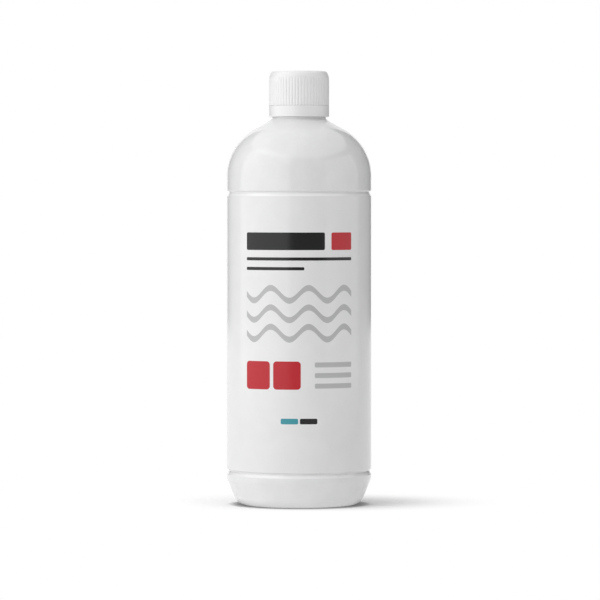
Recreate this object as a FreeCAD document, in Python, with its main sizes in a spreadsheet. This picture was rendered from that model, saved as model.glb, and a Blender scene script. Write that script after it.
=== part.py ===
import FreeCAD, Part
import math
import operator
import os
import Sketcher

# One-litre solution bottle with a ribbed screw cap, a tamper band, a vented liner and a wrap label.
# Lengths are in millimetres and angles in degrees. The bottle stands on z = 0 with its axis on Z,
# and its front faces -Y.

SIZES = [
    # Bottle, from the floor up to the shoulder
    ("body_diameter", 83.0),
    ("wall_thickness", 1.1),
    ("push_up_height", 4.0),
    ("stand_ring_width", 4.0),
    ("base_corner_radius", 7.0),
    ("heel_taper", 22.0),
    ("heel_corner_radius", 8.0),
    ("heel_land", 0.9),
    ("heel_height", 19.0),
    ("panel_height", 160.0),
    ("groove_width", 3.0),
    ("groove_floor", 1.3),
    ("groove_depth", 1.12),
    ("shoulder_height", 10.0),
    ("dome_radius", 30.9),
    ("shoulder_slope", 28.0),
    # Cap
    ("cap_diameter", 34.6),
    ("skirt_wall", 2.55),
    ("cap_top_wall", 2.0),
    ("cap_bevel_angle", 24.0),
    ("cap_bevel_radius", 9.0),
    ("cap_bevel_length", 0.6),
    ("cap_edge_radius", 1.6),
    ("thread_depth", 1.2),
    ("thread_clearance", 0.35),
    ("skirt_chamfer", 0.5),
    ("gate_radius", 2.2),
    ("gate_depth", 0.3),
    ("rib_count", 60),
    ("rib_depth", 0.4),
    ("rib_gap", 1.0),
    ("rib_root_flat", 0.2),
    ("rib_top_drop", 3.0),
    # Neck finish, whose radii follow from the cap that it carries
    ("neck_radius", "=cap_diameter / 2 - skirt_wall - thread_clearance - thread_depth"),
    ("neck_wall", 2.3),
    ("bore_radius", "=neck_radius - neck_wall"),
    ("collar_reach", 2.1),
    ("collar_radius", "=neck_radius + collar_reach"),
    ("collar_fillet", 2.0),
    ("collar_land", 0.15),
    ("neck_height", 22.5),
    ("lip_chamfer", 0.5),
    ("bead_height", 4.2),
    ("bead_reach", 1.5),
    ("bead_edge", 0.5),
    ("bead_ramp", 1.3),
    # Tamper band
    ("band_clearance", 0.85),
    ("band_height", 5.5),
    ("band_play", 0.5),
    ("band_edge_radius", 0.6),
    ("slit_height", 0.35),
    ("bridge_count", 10),
    ("bridge_arc", 3.0),
    ("bridge_thickness", 0.7),
    ("bridge_inset", 0.15),
    ("bridge_break", 0.05),
    ("hook_count", 10),
    ("hook_arc", 26.0),
    ("hook_clearance", 0.5),
    ("hook_play", 0.5),
    ("hook_tip", 0.6),
    ("hook_ramp", 1.6),
    ("weld_depth", 0.4),
    # Liner
    ("wad_thickness", 1.6),
    ("wad_clearance", 0.25),
    ("wad_hole_radius", 2.0),
    ("wad_bead_reach", 0.5),
    ("wad_bead_drop", 0.35),
    ("wad_bead_ramp", 0.6),
    ("vent_groove_count", 4),
    ("vent_groove_width", 1.2),
    ("vent_groove_depth", 0.5),
    ("membrane_thickness", 0.3),
    ("membrane_overhang", 0.2),
    # Label
    ("label_thickness", 0.12),
    ("label_glue", 0.02),
    ("label_margin", 0.3),
    ("label_gap", 4.0),
]

OPERATIONS = {"+": operator.add, "-": operator.sub, "*": operator.mul, "/": operator.truediv}
LEFT = 1
RIGHT = -1
FULL_TURN = 360.0
FACE_FRONT = -90.0
UP = FreeCAD.Vector(0, 0, 1)
HORIZONTAL, VERTICAL = (-1, -2)
ORIGIN = (-1, 1)


class Size:
    """A value worked out from the sheet, with the expression that keeps it tied to the sheet."""

    def __init__(self, value, text):
        self.value = value
        self.text = text

    def __add__(self, other):
        return joined(self, "+", other)

    def __sub__(self, other):
        return joined(self, "-", other)

    def __rsub__(self, other):
        return joined(other, "-", self)

    def __mul__(self, other):
        return joined(self, "*", other)

    def __truediv__(self, other):
        return joined(self, "/", other)


def as_size(item):
    return item if isinstance(item, Size) else Size(float(item), repr(float(item)))


def joined(left, sign, right):
    first = as_size(left)
    second = as_size(right)
    value = OPERATIONS[sign](first.value, second.value)
    return Size(value, f"({first.text} {sign} {second.text})")


def sine(angle):
    return Size(math.sin(math.radians(angle.value)), f"sin({angle.text})")


def cosine(angle):
    return Size(math.cos(math.radians(angle.value)), f"cos({angle.text})")


def tangent(angle):
    return Size(math.tan(math.radians(angle.value)), f"tan({angle.text})")


def square_root(size):
    return Size(math.sqrt(size.value), f"sqrt({size.text})")


def smaller(first, second):
    return Size(min(first.value, second.value), f"min({first.text}; {second.text})")


document = FreeCAD.newDocument("solution_bottle")
sheet = document.addObject("Spreadsheet::Sheet", "Sizes")
for row, (alias, entry) in enumerate(SIZES, start=1):
    sheet.set(f"A{row}", alias)
    sheet.set(f"B{row}", str(entry))
    sheet.setAlias(f"B{row}", alias)
document.recompute()
size = {alias: Size(float(sheet.get(alias)), f"Sizes.{alias}") for alias, entry in SIZES}

# Bottle stations: heights above the floor, and radii from the axis
WALL = size["wall_thickness"]
BODY_RADIUS = size["body_diameter"] / 2
LOWER_GROOVE = size["heel_height"]
UPPER_GROOVE = LOWER_GROOVE + size["panel_height"]
GROOVE_HALF = size["groove_width"] / 2
GROOVE_FLOOR_HALF = size["groove_floor"] / 2
DOME_START = UPPER_GROOVE + size["shoulder_height"]
DOME_CENTRE = BODY_RADIUS - size["dome_radius"]
SLOPE = size["shoulder_slope"]
CONE_FOOT_RADIUS = DOME_CENTRE + size["dome_radius"] * sine(SLOPE)
CONE_FOOT = DOME_START + size["dome_radius"] * cosine(SLOPE)


def cone_height(radius):
    """Height of the straight part of the shoulder at a radius."""
    return CONE_FOOT + (CONE_FOOT_RADIUS - radius) * tangent(SLOPE)


COLLAR_RADIUS = size["collar_radius"]
COLLAR_FILLET = size["collar_fillet"]
COLLAR_FOOT = cone_height(COLLAR_RADIUS + COLLAR_FILLET) + COLLAR_FILLET / cosine(SLOPE)
LEDGE = COLLAR_FOOT + size["collar_land"]
NECK_RADIUS = size["neck_radius"]
BORE_RADIUS = size["bore_radius"]
BEAD_CATCH = LEDGE + size["bead_height"]
BEAD_RADIUS = NECK_RADIUS + size["bead_reach"]
LAND = LEDGE + size["neck_height"]

# Liner, cap and band stations, stacked on the land and on the ledge of the neck
WAD_BOTTOM = LAND + size["membrane_thickness"]
WAD_TOP = WAD_BOTTOM + size["wad_thickness"]
CAP_TOP = WAD_TOP + size["cap_top_wall"]
CAP_RADIUS = size["cap_diameter"] / 2
SKIRT_INSIDE = NECK_RADIUS + size["thread_depth"] + size["thread_clearance"]
BAND_BOTTOM = LEDGE + size["band_clearance"]
BAND_TOP = BAND_BOTTOM + size["band_height"]
SKIRT_BOTTOM = BAND_TOP + size["slit_height"]
BAND_INSIDE = BEAD_RADIUS + size["band_play"]
HOOK_TOP = BEAD_CATCH - size["hook_play"]


def new_body(name):
    body = document.addObject("PartDesign::Body", name)
    body.Label = name
    return body


def origin_feature(body, role):
    return next(item for item in body.Origin.OriginFeatures if item.Role == role)


def new_sketch(body, name, plane, lift=None):
    """A sketch on an origin plane of its body, lifted along the plane's normal where asked."""
    sketch = body.newObject("Sketcher::SketchObject", f"{body.Name}_{name}")
    sketch.AttachmentSupport = [(origin_feature(body, plane), "")]
    sketch.MapMode = "FlatFace"
    if lift is not None:
        sketch.setExpression("AttachmentOffset.Base.z", lift.text)
    return sketch


def bind(sketch, name, constraint, source):
    """Adds a named dimension to a sketch and ties it to the sheet."""
    index = sketch.addConstraint(constraint)
    sketch.renameConstraint(index, name)
    sketch.setExpression(f"Constraints.{name}", source.text)


def place_point(sketch, name, point, x, y):
    """Holds a sketch point at (x, y) from the origin; a plain 0 puts it on that axis instead."""
    if isinstance(x, Size):
        bind(sketch, f"{name}_x", Sketcher.Constraint("DistanceX", *ORIGIN, *point, x.value), x)
    else:
        sketch.addConstraint(Sketcher.Constraint("PointOnObject", *point, VERTICAL))
    if isinstance(y, Size):
        bind(sketch, f"{name}_y", Sketcher.Constraint("DistanceY", *ORIGIN, *point, y.value), y)
    else:
        sketch.addConstraint(Sketcher.Constraint("PointOnObject", *point, HORIZONTAL))


def arc_through(start, end, radius, turn):
    """Arc of under half a circle from start to end, whose centre lies on the side that it turns to."""
    chord = end - start
    middle = (start + end) / 2
    side = FreeCAD.Vector(-chord.y, chord.x, 0).normalize() * turn
    centre = middle + side * math.sqrt(radius ** 2 - (chord.Length / 2) ** 2)
    first, last = (start, end) if turn == LEFT else (end, start)
    angles = [math.atan2(point.y - centre.y, point.x - centre.x) for point in (first, last)]
    circle = Part.Circle(centre, UP, radius)
    return Part.ArcOfCircle(circle, angles[0], angles[1])


def draw_loop(body, name, corners):
    """Closed outline on the XZ plane. A corner is (radius, height), or (radius, height, arc radius, turn)
    where an arc leads to it from the corner before; the last corner joins the first by a line."""
    sketch = new_sketch(body, name, "XZ_Plane")
    points = [FreeCAD.Vector(as_size(corner[0]).value, as_size(corner[1]).value, 0) for corner in corners]
    count = len(corners)
    starts = []
    ends = []
    for index in range(count):
        following = (index + 1) % count
        bend = corners[following][2:]
        if bend:
            radius, turn = bend
            edge = sketch.addGeometry(arc_through(points[index], points[following], radius.value, turn))
            starts.append((edge, 1 if turn == LEFT else 2))
            ends.append((edge, 2 if turn == LEFT else 1))
            bind(sketch, f"bend_{following}", Sketcher.Constraint("Radius", edge, radius.value), radius)
        else:
            edge = sketch.addGeometry(Part.LineSegment(points[index], points[following]))
            starts.append((edge, 1))
            ends.append((edge, 2))
    for index, corner in enumerate(corners):
        sketch.addConstraint(Sketcher.Constraint("Coincident", *ends[index - 1], *starts[index]))
        place_point(sketch, f"corner_{index}", starts[index], corner[0], corner[1])
    return sketch


def draw_wedge(body, name, lift, inner, inner_half, outer, outer_half):
    """Four-sided outline about the X axis, seen from above: half widths at an inner and an outer radius."""
    sketch = new_sketch(body, name, "XY_Plane", lift)
    points = [
        FreeCAD.Vector(inner.value, inner_half.value, 0),
        FreeCAD.Vector(outer.value, outer_half.value, 0),
        FreeCAD.Vector(outer.value, -outer_half.value, 0),
        FreeCAD.Vector(inner.value, -inner_half.value, 0),
    ]
    lines = [sketch.addGeometry(Part.LineSegment(points[index - 1], points[index])) for index in range(4)]
    for index in range(4):
        sketch.addConstraint(Sketcher.Constraint("Coincident", lines[index - 1], 2, lines[index], 1))
    place_point(sketch, "inner", (lines[0], 2), inner, inner_half)
    place_point(sketch, "outer", (lines[1], 2), outer, outer_half)
    for upper, lower in ((0, 3), (1, 2)):
        pair = (lines[upper], 2, lines[lower], 2, HORIZONTAL)
        sketch.addConstraint(Sketcher.Constraint("Symmetric", *pair))
    return sketch


def revolve(body, name, corners, feature="PartDesign::Revolution", angle=None):
    """Turns an outline about Z: a full turn, or an angle shared equally either side of the XZ plane."""
    sketch = draw_loop(body, f"{name}_outline", corners)
    turned = body.newObject(feature, f"{body.Name}_{name}")
    turned.Profile = sketch
    turned.ReferenceAxis = (sketch, ["V_Axis"])
    turned.Angle = FULL_TURN
    if angle is not None:
        turned.Midplane = True
        turned.setExpression("Angle", angle.text)
    body.Tip = turned
    document.recompute()
    return turned


def cut_upwards(body, name, sketch, length):
    """Pocket that runs up from its sketch."""
    pocket = body.newObject("PartDesign::Pocket", f"{body.Name}_{name}")
    pocket.Profile = sketch
    pocket.Reversed = True
    pocket.setExpression("Length", length.text)
    body.Tip = pocket
    document.recompute()
    return pocket


def repeat_round(body, feature, count):
    """Repeats a feature evenly about the axis."""
    pattern = body.newObject("PartDesign::PolarPattern", f"{feature.Name}_ring")
    pattern.Originals = [feature]
    pattern.Axis = (origin_feature(body, "Z_Axis"), [""])
    pattern.Angle = FULL_TURN
    pattern.setExpression("Occurrences", count.text)
    body.Tip = pattern
    document.recompute()
    return pattern


def groove_corners(centre, inset, flare):
    """Four corners of a groove about a height, from the bottom up, on a wall set in by inset."""
    outer = BODY_RADIUS - inset
    floor = outer - size["groove_depth"]
    return [
        (outer, centre - GROOVE_HALF - flare),
        (floor, centre - GROOVE_FLOOR_HALF - flare),
        (floor, centre + GROOVE_FLOOR_HALF + flare),
        (outer, centre + GROOVE_HALF + flare),
    ]


def body_corners(inset, flare):
    """Stretch from the stand ring up to the end of the dome, on a wall set in by inset."""
    taper = size["heel_taper"]
    heel_top = LOWER_GROOVE - GROOVE_HALF - size["heel_land"]
    heel_centre = BODY_RADIUS - size["heel_corner_radius"]
    taper_top_radius = heel_centre + size["heel_corner_radius"] * cosine(taper)
    taper_top = heel_top - size["heel_corner_radius"] * sine(taper)
    base_centre = size["base_corner_radius"]
    stand_radius = (
        taper_top_radius - (taper_top - base_centre) * tangent(taper) - base_centre / cosine(taper)
    )
    corner = size["base_corner_radius"] - inset
    heel = size["heel_corner_radius"] - inset
    dome = size["dome_radius"] - inset
    stand = inset if isinstance(inset, Size) else 0
    push_up = size["push_up_height"]
    stand_inside = stand_radius - size["stand_ring_width"]
    bowl = (stand_inside * stand_inside + push_up * push_up) / (push_up * 2)
    drop = bowl + inset - push_up
    bowl_foot = square_root((bowl + inset) * (bowl + inset) - drop * drop)
    return [
        (0, push_up + inset),
        (bowl_foot, stand, bowl + inset, RIGHT),
        (stand_radius, stand),
        (stand_radius + corner * cosine(taper), base_centre - corner * sine(taper), corner, LEFT),
        (heel_centre + heel * cosine(taper), heel_top - heel * sine(taper)),
        (BODY_RADIUS - inset, heel_top, heel, LEFT),
        *groove_corners(LOWER_GROOVE, inset, flare),
        *groove_corners(UPPER_GROOVE, inset, flare),
        (BODY_RADIUS - inset, DOME_START),
        (DOME_CENTRE + dome * sine(SLOPE), DOME_START + dome * cosine(SLOPE), dome, LEFT),
    ]


def make_bottle():
    """Blow-moulded bottle: an outside form turned about the axis, then hollowed to one wall thickness."""
    body = new_body("bottle")
    lip = size["lip_chamfer"]
    fillet_start = COLLAR_RADIUS + COLLAR_FILLET * (1 - sine(SLOPE))
    bead_top = BEAD_CATCH + size["bead_edge"]
    outside = body_corners(0, 0) + [
        (fillet_start, COLLAR_FOOT - COLLAR_FILLET * cosine(SLOPE)),
        (COLLAR_RADIUS, COLLAR_FOOT, COLLAR_FILLET, RIGHT),
        (COLLAR_RADIUS, LEDGE),
        (NECK_RADIUS, LEDGE),
        (NECK_RADIUS, BEAD_CATCH),
        (BEAD_RADIUS, BEAD_CATCH),
        (BEAD_RADIUS, bead_top),
        (NECK_RADIUS, bead_top + size["bead_ramp"]),
        (NECK_RADIUS, LAND - lip),
        (NECK_RADIUS - lip, LAND),
        (0, LAND),
    ]
    revolve(body, "outside", outside)
    flank_run = GROOVE_HALF - GROOVE_FLOOR_HALF
    depth = size["groove_depth"]
    flank = square_root(depth * depth + flank_run * flank_run)
    flare = WALL * (flank - flank_run) / depth
    inside = body_corners(WALL, flare) + [
        (BORE_RADIUS, cone_height(BORE_RADIUS) - WALL / cosine(SLOPE)),
        (BORE_RADIUS, LAND - lip),
        (BORE_RADIUS + lip, LAND),
        (0, LAND),
    ]
    revolve(body, "inside", inside, feature="PartDesign::Groove")
    return body


def make_cap():
    """Screw cap: a deep cup with a bevelled top, a bead that keeps the wad in, and fine grip ribs."""
    body = new_body("cap")
    bevel = size["cap_bevel_angle"]
    bend = size["cap_bevel_radius"]
    edge = size["cap_edge_radius"]
    slant = size["cap_bevel_length"]
    edge_foot_radius = CAP_RADIUS - bend * (1 - cosine(bevel)) - slant * sine(bevel)
    edge_foot = CAP_TOP - edge * (1 - sine(bevel))
    bend_top = edge_foot - slant * cosine(bevel)
    bead_tip = WAD_BOTTOM - size["wad_bead_drop"]
    chamfer = size["skirt_chamfer"]
    gate = size["gate_radius"]
    corners = [
        (0, WAD_TOP),
        (SKIRT_INSIDE, WAD_TOP),
        (SKIRT_INSIDE, WAD_BOTTOM),
        (SKIRT_INSIDE - size["wad_bead_reach"], bead_tip),
        (SKIRT_INSIDE, bead_tip - size["wad_bead_ramp"]),
        (SKIRT_INSIDE, SKIRT_BOTTOM + chamfer),
        (SKIRT_INSIDE + chamfer, SKIRT_BOTTOM),
        (CAP_RADIUS, SKIRT_BOTTOM),
        (CAP_RADIUS, bend_top - bend * sine(bevel)),
        (CAP_RADIUS - bend * (1 - cosine(bevel)), bend_top, bend, LEFT),
        (edge_foot_radius, edge_foot),
        (edge_foot_radius - edge * cosine(bevel), CAP_TOP, edge, LEFT),
        (gate, CAP_TOP),
        (gate, CAP_TOP - size["gate_depth"]),
        (0, CAP_TOP - size["gate_depth"]),
    ]
    revolve(body, "cup", corners)
    root = CAP_RADIUS - size["rib_depth"]
    clear = CAP_RADIUS + size["rib_depth"]
    root_half = size["rib_root_flat"] / 2
    # The gap reaches its named width midway out, where it passes the crests of the ribs
    clear_half = size["rib_gap"] - root_half
    notch = draw_wedge(body, "rib_gap_outline", SKIRT_BOTTOM, root, root_half, clear, clear_half)
    gap = cut_upwards(body, "rib_gap", notch, CAP_TOP - size["rib_top_drop"] - SKIRT_BOTTOM)
    repeat_round(body, gap, size["rib_count"])
    return body


def make_tamper_band():
    """Tamper band: a plain ring with hooks that catch under the neck bead, and broken bridges on top."""
    body = new_body("tamper_band")
    half_wall = (CAP_RADIUS - BAND_INSIDE) / 2
    edge = smaller(size["band_edge_radius"], half_wall)
    ring = [
        (BAND_INSIDE, BAND_BOTTOM),
        (CAP_RADIUS - edge, BAND_BOTTOM),
        (CAP_RADIUS, BAND_BOTTOM + edge, edge, LEFT),
        (CAP_RADIUS, BAND_TOP),
        (BAND_INSIDE, BAND_TOP),
    ]
    revolve(body, "ring", ring)
    root = BAND_INSIDE + half_wall
    tip = NECK_RADIUS + size["hook_clearance"]
    tip_bottom = HOOK_TOP - size["hook_tip"]
    hook = [
        (root, tip_bottom - size["hook_ramp"]),
        (root, HOOK_TOP),
        (tip, HOOK_TOP),
        (tip, tip_bottom),
        (BAND_INSIDE, tip_bottom - size["hook_ramp"]),
    ]
    repeat_round(body, revolve(body, "hook", hook, angle=size["hook_arc"]), size["hook_count"])
    bridge_outside = CAP_RADIUS - size["bridge_inset"]
    bridge_inside = bridge_outside - size["bridge_thickness"]
    bridge_top = SKIRT_BOTTOM - size["bridge_break"]
    bridge = [
        (bridge_inside, BAND_TOP - size["weld_depth"]),
        (bridge_outside, BAND_TOP - size["weld_depth"]),
        (bridge_outside, bridge_top),
        (bridge_inside, bridge_top),
    ]
    repeat_round(body, revolve(body, "bridge", bridge, angle=size["bridge_arc"]), size["bridge_count"])
    return body


def make_liner_wad():
    """Foam wad in the top of the cap, with a hole and grooves that lead gas to the thread."""
    body = new_body("liner_wad")
    rim = SKIRT_INSIDE - size["wad_clearance"]
    hole = size["wad_hole_radius"]
    disc = [(hole, WAD_BOTTOM), (rim, WAD_BOTTOM), (rim, WAD_TOP), (hole, WAD_TOP)]
    revolve(body, "disc", disc)
    half = size["vent_groove_width"] / 2
    floor = WAD_TOP - size["vent_groove_depth"]
    outline = draw_wedge(body, "groove_outline", floor, hole / 2, half, rim + hole, half)
    groove = cut_upwards(body, "groove", outline, size["vent_groove_depth"])
    repeat_round(body, groove, size["vent_groove_count"])
    return body


def make_vent_membrane():
    """Thin membrane under the wad: it seals on the land of the neck and lets gas through its middle."""
    body = new_body("vent_membrane")
    rim = NECK_RADIUS + size["membrane_overhang"]
    revolve(body, "disc", [(0, LAND), (rim, LAND), (rim, WAD_BOTTOM), (0, WAD_BOTTOM)])
    return body


def make_label():
    """Film label round the panel between the two grooves, with its gap at the back."""
    body = new_body("label")
    inner = BODY_RADIUS + size["label_glue"]
    outer = inner + size["label_thickness"]
    bottom = LOWER_GROOVE + GROOVE_HALF + size["label_margin"]
    top = UPPER_GROOVE - GROOVE_HALF - size["label_margin"]
    gap_angle = size["label_gap"] / outer * math.degrees(1)
    wrap = [(inner, bottom), (outer, bottom), (outer, top), (inner, top)]
    revolve(body, "wrap", wrap, angle=FULL_TURN - gap_angle)
    body.Placement = FreeCAD.Placement(FreeCAD.Vector(), FreeCAD.Rotation(UP, FACE_FRONT))
    return body


def check(bodies):
    """Stops on any failed object, and on a sub-part that isn't one valid solid."""
    for item in document.Objects:
        if "Invalid" in item.State or "Error" in item.State:
            raise RuntimeError(f"{item.Label} failed: {item.State}")
    for body in bodies:
        if body.Shape.isNull() or not body.Shape.isValid() or len(body.Shape.Solids) != 1:
            raise RuntimeError(f"{body.Label} isn't one valid solid")


makers = (make_bottle, make_label, make_tamper_band, make_vent_membrane, make_liner_wad, make_cap)
sub_parts = [make() for make in makers]
document.recompute()
check(sub_parts)
os.makedirs("parts", exist_ok=True)
for sub_part in sub_parts:
    sub_part.Shape.exportStep(f"parts/{sub_part.Label}.step")
    print(f"{sub_part.Label}: {sub_part.Shape.Volume:.1f} mm3")
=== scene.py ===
"""Looks of a white one-litre solution bottle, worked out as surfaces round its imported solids.

Lengths are in metres. The bottle stands on z = 0 with its axis on Z, and its front faces -Y.
"""

import math

import bpy
import numpy as np
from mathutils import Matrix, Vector


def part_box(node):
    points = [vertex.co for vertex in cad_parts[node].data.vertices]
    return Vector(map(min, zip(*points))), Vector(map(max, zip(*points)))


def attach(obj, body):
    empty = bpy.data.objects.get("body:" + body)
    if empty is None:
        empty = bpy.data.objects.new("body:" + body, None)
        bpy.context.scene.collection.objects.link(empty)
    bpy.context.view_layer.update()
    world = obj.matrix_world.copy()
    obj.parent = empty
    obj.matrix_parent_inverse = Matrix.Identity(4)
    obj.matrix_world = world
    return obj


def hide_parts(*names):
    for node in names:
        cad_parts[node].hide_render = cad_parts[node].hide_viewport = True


bl_info = {
    "name": "Solution bottle",
    "version": (1, 0, 0),
    "blender": (4, 5, 0),
    "location": "3D View > Sidebar > Bottle",
    "description": "Builds a white screw-cap solution bottle and its studio round the packed solids",
    "category": "Object",
}

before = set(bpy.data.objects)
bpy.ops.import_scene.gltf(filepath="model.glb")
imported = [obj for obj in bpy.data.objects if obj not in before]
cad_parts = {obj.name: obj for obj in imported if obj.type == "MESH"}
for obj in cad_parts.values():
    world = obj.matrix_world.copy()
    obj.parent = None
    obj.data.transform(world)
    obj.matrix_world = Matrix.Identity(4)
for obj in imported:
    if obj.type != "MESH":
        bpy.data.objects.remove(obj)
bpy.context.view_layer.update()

MM = 0.001
TURN = 2 * math.pi
QUARTER = math.pi / 2
FRONT = -QUARTER
PHOTO_PIXELS = 600

# Fineness: the most that a chord leaves its arc, the plain strip kept beside a round, the least round,
# how near two places count as one, and the angle past which an edge stays sharp
FLATNESS = 0.006 * MM
HOLD = 0.12 * MM
LEAST_ROUND = 0.15 * MM
CLOSE = MM / 100
SHARP_ANGLE = math.radians(50)

# Steps round each surface
BODY_SIDES = 240
SIDES_PER_RIB = 12
BAND_SIDES = 720
FILM_SIDES = 288
STAGE_SIDES = 96

# Stations read from the solids: radii and heights that the surfaces share with them
BODY_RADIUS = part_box("bottle")[1].x
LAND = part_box("bottle")[1].z
CLOSURE_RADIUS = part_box("tamper_band")[1].x
BAND_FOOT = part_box("tamper_band")[0].z
BRIDGE_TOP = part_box("tamper_band")[1].z
SKIRT_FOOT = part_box("cap")[0].z
CAP_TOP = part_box("cap")[1].z
WAD_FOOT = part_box("liner_wad")[0].z
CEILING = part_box("liner_wad")[1].z
LABEL_LOW, LABEL_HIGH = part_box("label")


def length(label, description, millimetres):
    """A length property whose default is written in millimetres."""
    return bpy.props.FloatProperty(
        name=label, description=description, default=millimetres * MM, unit="LENGTH", precision=5
    )


def angle(label, description, degrees):
    """An angle property whose default is written in degrees."""
    return bpy.props.FloatProperty(
        name=label, description=description, default=math.radians(degrees), subtype="ANGLE"
    )


def share(label, description, value):
    """A plain number without a unit."""
    return bpy.props.FloatProperty(name=label, description=description, default=value, precision=3)


def count(label, description, number):
    """A whole number, at least 1."""
    return bpy.props.IntProperty(name=label, description=description, default=number, min=1)


def colour(label, description, red, green, blue):
    """A colour property in linear light."""
    return bpy.props.FloatVectorProperty(
        name=label, description=description, default=(red, green, blue), size=3, subtype="COLOR", min=0, max=1
    )


class BottleSizes(bpy.types.PropertyGroup):
    wall: length("Wall", "Thickness of the blown wall", 1.1)
    push_up: length("Push-up", "Rise of the hollow in the base", 4.0)
    stand_ring: length("Stand ring", "Width of the flat ring that it stands on", 4.0)
    ring_round: length("Ring round", "Round at the inner edge of the stand ring", 1.2)
    base_round: length("Base round", "Round between the stand ring and the heel", 7.0)
    heel_taper: angle("Heel taper", "Lean of the heel from upright", 22.0)
    heel_round: length("Heel round", "Round between the heel and the wall", 8.0)
    heel_land: length("Heel land", "Upright stretch below the lower groove", 0.9)
    heel_height: length("Heel height", "Middle of the lower groove above the floor", 19.0)
    panel_height: length("Panel height", "Distance between the two grooves", 160.0)
    groove_width: length("Groove width", "Width of a groove at the wall", 3.0)
    groove_floor: length("Groove floor", "Width of a groove at its floor", 0.6)
    groove_depth: length("Groove depth", "Depth of a groove", 1.12)
    groove_lean: length("Groove lean", "How far a groove's floor lies above its middle", 0.95)
    groove_edge: length("Groove edge", "Round of a groove's edges, but for the lower one of its floor", 0.2)
    groove_round: length("Groove round", "Round of the lower edge of a groove's floor", 0.5)
    # Painted highlight: the whiter band on each groove's lower lip stands in for light falling on that
    # up-facing flank
    white_reach: length("White reach", "Half height of the whiter band on a groove's lower lip", 1.1)
    shoulder_height: length("Shoulder height", "Upright stretch above the upper groove", 10.0)
    dome_radius: length("Dome radius", "Round of the shoulder", 30.9)
    shoulder_slope: angle("Shoulder slope", "Slope of the cone above the dome", 28.0)
    flare_reach: length("Flare reach", "Width of the steeper strip of the cone round the collar", 3.0)
    flare_rise: length("Flare rise", "How much that strip lifts the collar's foot", 0.6)
    flare_round: length("Flare round", "Hollow round where that strip starts", 14.0)
    collar_radius: length("Collar radius", "Radius of the collar under the tamper band", 15.3)
    collar_fillet: length("Collar fillet", "Hollow round at the collar's foot", 0.7)
    collar_edge: length("Collar edge", "Round of the collar's top edge", 0.1)
    neck_radius: length("Neck radius", "Radius of the neck at the root of its thread", 13.2)
    neck_fillet: length("Neck fillet", "Hollow round between the collar and the neck", 0.4)
    neck_height: length("Neck height", "Land of the neck above the collar", 22.5)
    bore_radius: length("Bore radius", "Radius of the neck's bore", 10.9)
    bead_height: length("Bead height", "Underside of the catch bead above the collar", 4.2)
    bead_reach: length("Bead reach", "How far the catch bead stands out", 1.5)
    bead_edge: length("Bead edge", "Upright edge of the catch bead", 0.5)
    bead_ramp: length("Bead ramp", "Height of the slope above the catch bead", 1.3)
    bead_round: length("Bead round", "Hollow round under the catch bead, and round of its upper edge", 0.3)
    ramp_round: length("Ramp round", "Hollow round at the top of that slope", 0.5)
    lip_round: length("Lip round", "Round of the land's two edges", 0.5)
    seam_height: length("Seam height", "How far the mould seam stands out", 0.07)
    seam_width: length("Seam width", "Half width of the mould seam", 0.22)
    pinch_height: length("Pinch height", "How far the pinch-off seam stands out of the base", 0.4)
    pinch_width: length("Pinch width", "Half width of the pinch-off seam", 0.7)
    pinch_reach: length("Pinch reach", "Half length of the pinch-off seam", 23.0)
    pinch_fade: length("Pinch fade", "Length over which the pinch-off seam runs out", 2.0)


class ThreadSizes(bpy.types.PropertyGroup):
    pitch: length("Pitch", "Climb of the thread in one turn", 4.2)
    rise: length("Rise", "Start of the neck's thread above the collar", 9.0)
    turns: share("Turns", "Turns of the neck's thread", 2.4)
    cap_turns: share("Cap turns", "Turns of the cap's thread", 2.2)
    lead_in: share("Lead-in", "Share of a turn over which a thread fades at its ends", 0.12)
    neck_depth: length("Neck depth", "Height of the neck's ridge", 1.2)
    cap_depth: length("Cap depth", "Height of the cap's ridge", 1.1)
    root: length("Root", "Half width of a ridge at its root", 1.05)
    crest: length("Crest", "Half width of a ridge at its crest", 0.35)


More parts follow.
